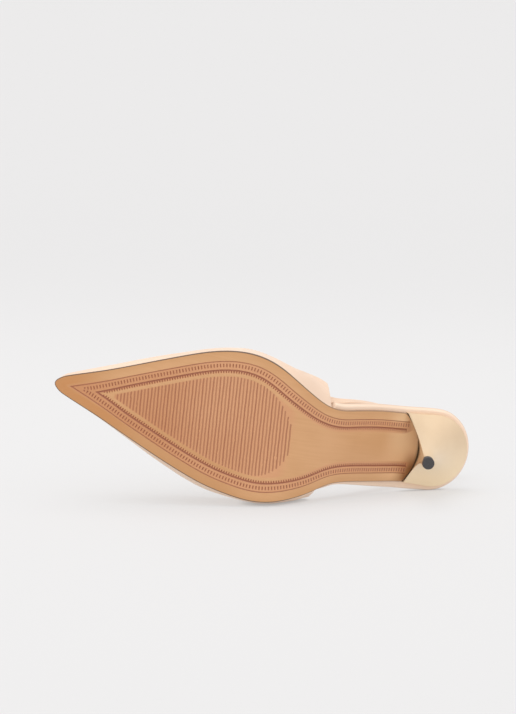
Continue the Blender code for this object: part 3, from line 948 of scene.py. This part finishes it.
def on_underside(plan, depth):
    """Return standing points for unrolled ones, pressed in by depth."""
    x = section_at(plan[:, 0])
    share = np.clip(plan[:, 1] / half_width(x, plan[:, 1]), -1.0, 1.0)
    belly = OUTSOLE_DOME * (1.0 - ease(x, 92.0, 128.0)) * (1.0 - share * share)
    return place(x, plan[:, 1], depth - belly)


def pressed_underside(full, outline):
    """Return the underside's points and faces and how dark each face is."""
    plan = PressedPlan()
    for press in (press_line, press_dashes, press_comb, press_ribs):
        press(plan)
    plan.add(drawn_in(full, OUTSOLE_EDGE + PAINT_OVERLAP), closed=True)
    fill_plan(plan, outline)
    flat, faces, sources = triangulate(outline, plan.points, plan.edges)
    own = [[s - len(outline) for s in source if s >= len(outline)] for source in sources]
    depth = np.array([max((plan.depth[s] for s in spots), default=0.0) for spots in own])
    dark = [max((plan.dark[s] for s in spots), default=0.0) for spots in own]
    return on_underside(flat, depth), faces, [max(dark[i] for i in face) for face in faces]


def edge_loops(full):
    """Return the loops round the sole's rounded lower edge and up its side."""
    x = section_at(full[:, 0])
    loops = []
    for turn in np.radians((0.0, 22.5, 45.0, 67.5, 90.0)):
        edge = drawn_in(full, OUTSOLE_EDGE * (1.0 - np.sin(turn)))
        loops.append(on_underside(edge, OUTSOLE_EDGE * (1.0 - np.cos(turn))))
    for share in (0.35, 0.7, 1.0):
        height = OUTSOLE_EDGE + (outsole_thickness(x) - OUTSOLE_EDGE) * share
        loops.append(place(x, full[:, 1], height))
    return loops


def sole_top(full):
    """Return the points and faces of the sole's upper side."""
    inner = []
    for run in np.arange(run_at(40.0), run_at(NOSE_X), 3.0):
        x = section_at(run)
        inner += [(run, float(across(x, s))) for s in (-0.6, 0.0, 0.6) if x > tongue_line(s) + 1.5]
    flat, faces, _ = triangulate(full, inner, [])
    x = section_at(flat[:, 0])
    return place(x, flat[:, 1], outsole_thickness(x)), faces


def build_outsole():
    """The tan sole with its pressed pattern and its painted edge."""
    full = sole_outline()
    under, faces, pressed = pressed_underside(full, drawn_in(full, OUTSOLE_EDGE))
    loops = edge_loops(full)
    faces += side_faces(len(under), len(loops), len(full))
    top, top_faces = sole_top(full)
    first = len(under) + len(loops) * len(full)
    faces += [tuple(i + first for i in face) for face in top_faces]
    pressed += [0.0] * (len(faces) - len(pressed))
    piece = make_piece("outsole_leather", np.concatenate([under, *loops, top]), faces, sole_leather(),
                       "sole_leather", "outsole", sharp=24.0, pressed=pressed)
    mark_edge(piece.data, full)


def distances_to(outline, flat):
    """Return how far each flat point lies from the nearest point of an outline."""
    tree = search_tree(outline)
    return np.array([tree.find((*point, 0.0))[2] for point in flat])


def mark_edge(mesh, outline):
    """Store how far each point lies inside the sole's long sides and how near it is to the edge."""
    shoe = np.array([tuple(row.vector) for row in mesh.attributes["shoe"].data])
    flat = unrolled(shoe[:, 0], shoe[:, 1])
    x = section_at(outline[:, 0])
    long_sides = x > tongue_line(outline[:, 1] / half_width(x, outline[:, 1])) + 1.0
    painted = OUTSOLE_EDGE + PAINT_OVERLAP
    note(mesh, "inward", distances_to(outline[long_sides], flat))
    note(mesh, "edge", np.clip((painted - distances_to(outline, flat)) / painted, 0.0, 1.0))


# -------- the footbed

def insole_reach(x, side):
    """Return how far the insole's outline lies outside the outsole's."""
    outer = RIM_REACH_SEAT + (RIM_REACH_OUTER - RIM_REACH_SEAT) * ease(x, 22.0, 40.0)
    outer = outer + (RIM_REACH_WAIST - RIM_REACH_OUTER) * ease(x, 40.0, 92.0)
    reach = np.where(side > 0.0, RIM_REACH_SEAT, outer)
    tucked = INSOLE_INSET - FOOTBED_TUCK * ease(x, 99.0, 108.0)
    return reach - (reach + tucked) * ease(x, RIM_ENDS, RIM_HIDDEN)


def insole_height(x):
    """Return the height of the insole's top over the sole's underside."""
    thick = RIM_THICK + (INSOLE_THICK - RIM_THICK) * ease(x, RIM_HIDDEN, INSOLE_THINS_TO)
    return outsole_thickness(x) + GLUE_GAP + thick


def foot_dish(x, side):
    """Return how deep the footbed is hollowed for the heel and the ball."""
    deep = FOOT_DISH * ease(x, 96.0, 60.0) + BALL_DISH * ease(x, 110.0, 135.0) * ease(x, 190.0, 160.0)
    return deep * (1.0 - side * side) ** 2


def insole_grid(draw_in):
    """Return sections, sides and y of the insole's outline drawn in by a distance."""
    x, side = plan_grid(rounded(SEAT_ROUND_X, RIM_BACK + draw_in),
                        rounded(INSOLE_TIP - INSOLE_ROUND, INSOLE_TIP - draw_in),
                        (150, 30), stops=(RIM_ENDS, RIM_HIDDEN))
    return x, side, across(x, side, insole_reach(x, side) - draw_in)


def build_footbed(material):
    """The wrapped board with its rounded rim, recessed for the sock."""
    layers = []
    for turn in np.linspace(-90.0, 90.0, 13):
        angle = math.radians(turn)
        x, side, y = insole_grid(2.0 * (1.0 - math.cos(angle)))
        base = outsole_thickness(x) + GLUE_GAP - RIM_DROP * ease(x, RIM_ENDS, RIM_ENDS - 8.0)
        height = base + (insole_height(x) - base) * (0.5 + 0.5 * math.sin(angle))
        if turn == 90.0:
            height = height - (SOCK_THICK * ease(np.abs(side), 0.97, 0.90) + foot_dish(x, side))
        layers.append(place(x, y, height))
    piece = make_piece("footbed", *stacked(layers), material, "lining_leather", "insole")
    # Notes which points face down, for the painted light on the rim's underside
    mark_facing(piece, "under", (0.0, 0.0, -1.0), 0.0, 0.7)


def build_sock(material, thread_material):
    """The sock lining over the footbed, sewn down along its edge."""
    layers = []
    for draw, up in ((SOCK_EDGE, -0.9), (SOCK_EDGE - 0.15, -0.4), (SOCK_EDGE, 0.05), (SOCK_EDGE + 0.35, 0.2)):
        x, side, y = insole_grid(draw + 0.6)
        height = insole_height(x) - foot_dish(x, side) + 0.5 * SOCK_THICK * (up - 0.2)
        layers.append(place(x, y, height))
    make_piece("sock_lining", *stacked(layers), material, "lining_leather")
    x, side, y = insole_grid(SOCK_EDGE + SOCK_STITCH)
    row = border(place(x, y, insole_height(x) - foot_dish(x, side) + 0.02))
    out = border(place(x, y, 1.0) - place(x, y, 0.0))
    stitch_row("sock_stitching", row, out, thread_material, "lining_leather")


# -------- the vamp

def upper_point(x, angle):
    """Return points on the outside of the upper; angle runs from 0 (outer) to pi (inner)."""
    inner = np.cos(angle) < 0.0
    nose = np.sqrt(np.clip(1.0 - ((x - NOSE_X) / (UPPER_TIP - NOSE_X)) ** 2, 0.0, 1.0))
    nose = np.where(x > NOSE_X, nose, 1.0)
    edge = np.where(inner, SOLE["inner"](x), SOLE["outer"](x)) - 0.2
    swell = np.where(inner, UPPER["inner_swell"](x), UPPER["outer_swell"](x))
    turn = np.where(inner, UPPER["inner_turn"](x), UPPER["outer_turn"](x))
    height = UPPER["crown"](x) * nose * np.sin(angle) ** 0.9
    low = np.clip(1.0 - height / turn, 0.0, 1.0) ** 2
    width = (edge + swell) * np.abs(np.cos(angle)) ** UPPER["round"](x) - swell * low
    y = np.where(inner, width, -width) * nose + middle_of(x) * ease(np.sin(angle), 0.2, 0.9)
    forward = TOE_SWELL * (1.0 - low) * ease(x, 250.0, NOSE_X) * np.sin(angle) ** 2
    return place(x + forward, y, outsole_thickness(x) + GLUE_GAP + height)


def vamp_grid(columns, rows, top=1.0):
    """Return the outside of the vamp: columns round the toe, rows from the sole up."""
    share = np.linspace(-1.0, 1.0, columns + 1)[:, None]
    far = np.abs(share)
    rise = np.linspace(0.0, top, rows + 1)[None, :] ** (1.0 + 0.6 * ease(far, 0.6, 0.1))
    x = VAMP["foot"](far) + (VAMP["top"](far) - VAMP["foot"](far)) * rise
    x = x - OUTER_WING_BACK * ease(-share, 0.7, 1.0)
    angle = np.radians(VAMP["angle"](far)) * rise ** np.maximum(VAMP["evenness"](far), 0.0)
    return upper_point(x, np.where(share > 0.0, math.pi - angle, angle))


def grid_normals(points):
    """Return unit normals of a grid of points, pointing out of the shoe."""
    normal = unit(np.cross(np.gradient(points, axis=0), np.gradient(points, axis=1)))
    if np.sum(normal[:, 1, 1] * points[:, 1, 1]) < 0.0:
        normal = -normal
    normal[:, 0, 2] = 0.0
    normal[:, 0] = unit(normal[:, 0])
    return normal


def crease_depth(points, columns, rows):
    """Return the vamp's listed troughs, each with a low ridge beside it."""
    depth = np.zeros(points.shape[:2])
    for along, height, direction, long, wide, deep in CREASE_ROWS:
        i = int((along + 1.0) * 0.5 * columns)
        j = int(height * rows)
        upright = unit(points[i, j + 1] - points[i, j - 1])
        level = unit(points[i + 1, j] - points[i - 1, j])
        angle = math.radians(direction)
        ahead = unit(upright * math.cos(angle) + level * math.sin(angle))
        square = unit(upright * -math.sin(angle) + level * math.cos(angle))
        away = points - points[i, j]
        u = away @ ahead / (0.5 * long)
        v = away @ square / (0.5 * wide)
        near = np.exp(-u * u) * np.exp(-0.5 * v * v) * (np.linalg.norm(away, axis=-1) < 30.0)
        depth += deep * (1.0 - 0.6 * v * v) * near
    return depth


def topline_distance(points):
    """Return each point's distance down its column from the topline."""
    step = np.linalg.norm(np.diff(points, axis=1), axis=-1)
    below = np.cumsum(step[:, ::-1], axis=1)[:, ::-1]
    return np.concatenate([below, np.zeros((len(points), 1))], axis=1)


def skin(outside, normal, near, far):
    """Return the layers of a leather skin between two depths under the outside, its top rounded."""
    first = outside - normal * near
    last = outside - normal * far
    out = np.zeros_like(outside)
    out[:, -1] += unit(outside[:, -1] - outside[:, -2])
    out[0] += unit(outside[0] - outside[1])
    out[-1] += unit(outside[-1] - outside[-2])
    out = unit(out) * (np.linalg.norm(out, axis=-1, keepdims=True) > 0.5)
    out = out * ease(np.linspace(0.0, 1.0, outside.shape[1])[None, :, None], 0.02, 0.12)
    layers = [first]
    for turn in np.radians((30.0, 60.0, 90.0, 120.0, 150.0)):
        bulge = 0.5 * (far - near) * np.sin(turn)
        layers.append(first + (last - first) * (0.5 - 0.5 * np.cos(turn)) + out * bulge)
    return layers + [last]


def build_vamp(leather_material, lining_material, thread_material):
    """The vamp: a leather skin with a folded, sewn topline, and its lining."""
    columns, rows = 320, 60
    outside = vamp_grid(columns, rows)
    normal = grid_normals(outside)
    below = topline_distance(outside)
    fold = FOLD_HEIGHT * ease(below, TOPLINE_FOLD + 0.9, TOPLINE_FOLD) * ease(below, 0.0, 0.9)
    low = np.linspace(0.0, 1.0, rows + 1)[None, :]
    depth = crease_depth(outside, columns, rows) * ease(low, 0.05, 0.2) * ease(below, 1.0, 5.0)
    shaped = outside + normal * ((fold - FOLD_HEIGHT - depth) * ease(low, 0.0, 0.1))[..., None]
    layers = skin(shaped, normal, 0.0, LEATHER)
    make_piece("vamp_leather", *stacked(layers), leather_material, "upper_leather", "upper", sharp=45.0)
    inside = vamp_grid(columns, rows, top=0.988)
    layers = skin(inside, grid_normals(inside), LEATHER + PLY_GAP + 0.1, UPPER_WALL)
    make_piece("vamp_lining", *stacked(layers), lining_material, "lining_leather", sharp=45.0)
    line = np.concatenate([between(below[i, ::-1], shaped[i, ::-1], [TOPLINE_STITCH])
                           for i in range(2, columns - 1)])
    stitch_row("topline_stitching", line, normal[2:columns - 1, -2], thread_material, "upper_leather")


# -------- the strap

def strap_frame(steps):
    """Return the strap's centre line and its width and outward directions."""
    rows = np.array(STRAP_ROWS)
    run = lengths_of(rows[:, :3])
    at = np.linspace(0.0, run[-1], steps + 1)
    centre = np.stack([spline(run, rows[:, i])(at) for i in range(3)], axis=-1)
    ahead = unit(np.gradient(centre, axis=0))
    out = unit(np.cross(ahead, (0.0, 0.0, 1.0)))
    wide = np.cross(out, ahead)
    lean = np.radians(spline(run, rows[:, 3])(at))[:, None]
    return centre, wide * np.cos(lean) + out * np.sin(lean), out * np.cos(lean) - wide * np.sin(lean)


def strap_ply(name, near, far, half, material, slot, replaced=None):
    """One ply of the strap between two depths, with rounded edges."""
    centre, wide, out = strap_frame(260)
    middle, deep = 0.5 * (near + far), 0.5 * (far - near)
    turns = circle(28)[:, None]
    side = np.sign(np.cos(turns)) * np.abs(np.cos(turns)) ** 0.28 * half
    up = np.sign(np.sin(turns)) * np.abs(np.sin(turns)) ** 0.75 * deep
    loops = centre[:, None] + wide[:, None] * side + out[:, None] * (middle + up)
    faces = tube_faces(0, *loops.shape[:2])
    make_piece(name, loops.reshape(-1, 3), faces, material, slot, replaced, sharp=60.0)


def build_strap(leather_material, lining_material, thread_material):
    """The sling strap: a leather ply outside, a lining inside and a stitch row along each edge."""
    half = 0.5 * STRAP_THICK
    row = 0.5 * STRAP_WIDE - STRAP_STITCH
    strap_ply("strap_leather", -0.05, half, 0.5 * STRAP_WIDE, leather_material, "upper_leather",
              "sling_strap")
    strap_ply("strap_lining", -half, -0.1, 0.5 * STRAP_WIDE - 0.35, lining_material, "lining_leather")
    centre, wide, out = strap_frame(400)
    for name, face, slot in (("outside", 1.0, "upper_leather"), ("inside", -1.0, "lining_leather")):
        for k, edge in enumerate((-row, row)):
            line = centre + wide * edge + out * face * (half - 0.02)
            stitch_row("strap_%s_stitching_%d" % (name, k + 1), line[8:-8], (out * face)[8:-8],
                       thread_material, slot)
    across_strap = np.linspace(-row - 0.6, row + 0.6, 24)[:, None]
    for k, end in enumerate((4, 9, -5, -10)):
        line = centre[end] + wide[end] * across_strap - out[end] * (half - 0.02)
        stitch_row("strap_tack_%d" % (k + 1), line, np.tile(-out[end], (len(line), 1)), thread_material,
                   "lining_leather")


# -------- the heel

def tip_layer(height, cells, shrink=0.0):
    """Return the heel tip's outline grid: round behind, flattened at the breast."""
    flat = TIP_X + TIP_RADIUS * TIP_FLAT
    x, side = plan_grid(rounded(TIP_X, TIP_X - TIP_RADIUS), rounded(flat, flat + 0.25 * TIP_RADIUS), cells,
                        bend=1.0)
    share = np.linspace(0.0, 1.0, cells[0] + 1)[:, None]
    y = TIP_RADIUS * side * np.sqrt(1.0 - (TIP_FLAT * share) ** 2)
    size = 1.0 - shrink / TIP_RADIUS
    return np.stack([TIP_X + (x - TIP_X) * size, y * size, np.full_like(x, height)], axis=-1)


def build_heel():
    """The flared gold heel."""
    cells = (16, 44)
    x, side = plan_grid(rounded(SEAT_ROUND_X, SEAT_BACK), lambda v: tongue_line(v) - GLUE_GAP, cells,
                        bend=1.0)
    seat = place(x, across(x, side), outsole_thickness(x))
    skirt = place(x, across(x, side), -HEEL_SKIRT)
    tip = tip_layer(LIFT_THICK + GLUE_GAP, cells)
    forward = ease(skirt[..., 0] - tip[..., 0], -BREAST_BLEND, BREAST_BLEND)
    late = HEEL_FLARE_BACK + (HEEL_FLARE_BREAST - HEEL_FLARE_BACK) * forward
    layers = []
    for share in np.linspace(0.0, 1.0, 71) ** HEEL_CROWDING:
        flare = np.stack([share ** late, np.full_like(late, share ** HEEL_FLARE_WIDE),
                          np.full_like(late, share)], axis=-1)
        layers.append(tip + (skirt - tip) * flare)
    piece = make_piece("heel_shell", *stacked(layers + [seat]), heel_lacquer(), "heel_lacquer", "heel",
                       sharp=40.0)
    # Notes which points face forward, for the painted shade on the heel's breast
    mark_facing(piece, "breast", (1.0, 0.0, 0.0), 0.45, 0.85)


def build_lift():
    """The black top piece, its tread's edge rounded."""
    layers = [tip_layer(height, (10, 30), shrink) for height, shrink in
              ((0.0, 0.35), (0.1, 0.1), (0.35, 0.0), (2.2, 0.0),
               (LIFT_THICK - 0.15, 0.0), (LIFT_THICK, 0.12))]
    make_piece("top_piece", *stacked(layers), lift_rubber(), "lift_rubber", "top_lift", sharp=50.0)


# -------- studio

def floor_paint():
    """Pale grey that glows a little, but less right beside the shoe."""
    surface = Surface("pale_floor", 0.9, specular=0.1)
    openness = add_node(surface.tree, "AmbientOcclusion", {"Distance": CONTACT_REACH}, "AO", samples=4)
    glow = add_node(surface.tree, "MapRange", {"Value": openness, "From Min": 0.0, "From Max": 0.9,
                                               "To Min": CONTACT_GLOW, "To Max": FLOOR_GLOW}, "Result")
    surface.shade({"Base Color": (0.27, 0.27, 0.273), "Emission Color": STUDIO_WHITE,
                   "Emission Strength": glow})
    return surface.material


def build_stage():
    """A wide round floor that sweeps up far away all round."""
    sweep = [(0.4, 0.0), (1.2, 0.0), (2.5, 0.0)]
    for turn in np.radians(np.linspace(10.0, 90.0, 9)):
        sweep.append((4.0 + 2.5 * np.sin(turn), 2.5 - 2.5 * np.cos(turn)))
    points = [(r * math.cos(a), r * math.sin(a), z) for r, z in sweep for a in circle(96)]
    mesh = bpy.data.meshes.new("studio_floor")
    mesh.from_pydata(points, [], [tuple(range(96))] + side_faces(0, len(sweep), 96))
    clean(mesh)
    mesh.materials.append(floor_paint())
    floor = show("studio_floor", mesh)


def build_lights():
    """Soft light from all round, stronger from above and in front, and one large lamp overhead."""
    world = bpy.data.worlds.new("studio")
    world.use_nodes = True
    tree = world.node_tree
    direction = add_node(tree, "TexCoord", {}, "Generated")
    toward = add_node(tree, "VectorMath", {0: direction, 1: unit(BRIGHT_SIDE).tolist()}, "Value",
                      operation="DOT_PRODUCT")
    strength = add_node(tree, "MapRange", {"Value": toward, "From Min": -0.6, "From Max": 1.0,
                                           "To Min": SKY_DIM, "To Max": SKY_BRIGHT}, "Result",
                        interpolation_type="SMOOTHSTEP")
    background = tree.nodes["Background"]
    feed(tree, background.inputs["Color"], STUDIO_WHITE)
    feed(tree, background.inputs["Strength"], strength)
    bpy.context.scene.world = world
    lamp = bpy.data.lights.new("overhead", "AREA")
    lamp.shape = "RECTANGLE"
    lamp.size, lamp.size_y = LAMP_SIZE
    lamp.energy = LAMP_POWER
    overhead = show("overhead", lamp)
    overhead.location = LAMP_PLACE
    overhead.rotation_euler = (-Vector(LAMP_PLACE)).to_track_quat("-Z", "Y").to_euler()


def build_camera():
    """The camera square to the sole, a little towards the toe."""
    data = bpy.data.cameras.new("camera")
    data.sensor_fit = "VERTICAL"
    data.sensor_height = 36.0
    data.lens = LENS
    data.clip_end = 50.0
    ahead = unit(TURN @ np.array(CAMERA_AHEAD))
    right = unit(np.cross(ahead, TURN @ np.array(CAMERA_UP)))
    pose = np.eye(4)
    pose[:3, :3] = np.stack([right, np.cross(right, ahead), -ahead], axis=1)
    pose[:3, 3] = lay(CAMERA_PLACE)
    camera = show("camera", data)
    camera.matrix_world = Matrix(pose.tolist())
    bpy.context.scene.camera = camera


# -------- the whole shoe

def main():
    upper_leather = leather("cream_nappa", (0.850, 0.650, 0.505), (0.800, 0.595, 0.450))
    # The rim's cream is darker than the upper's, painted shade on its top edge, and lighter where it faces
    # down, painted light
    rim_leather_lit_and_shaded = leather("cream_binding_lit_and_shaded", (0.700, 0.520, 0.390), (0.670, 0.490, 0.365),
                          under=(0.920, 0.710, 0.550))
    # The strap's cream is a darker copy of the upper's, painted shade
    strap_leather = leather("cream_strap_shaded", (0.800, 0.570, 0.410), (0.765, 0.535, 0.380))
    lining_leather = leather("cream_lining", (0.850, 0.700, 0.570), (0.800, 0.640, 0.510), 0.6, grain=0.8)
    cream_thread = thread()
    build_outsole()
    build_footbed(rim_leather_lit_and_shaded)
    build_sock(lining_leather, cream_thread)
    build_vamp(upper_leather, lining_leather, cream_thread)
    build_strap(strap_leather, lining_leather, cream_thread)
    build_heel()
    build_lift()
    build_stage()
    build_lights()
    build_camera()
    bpy.context.scene.view_settings.view_transform = "Standard"


main()
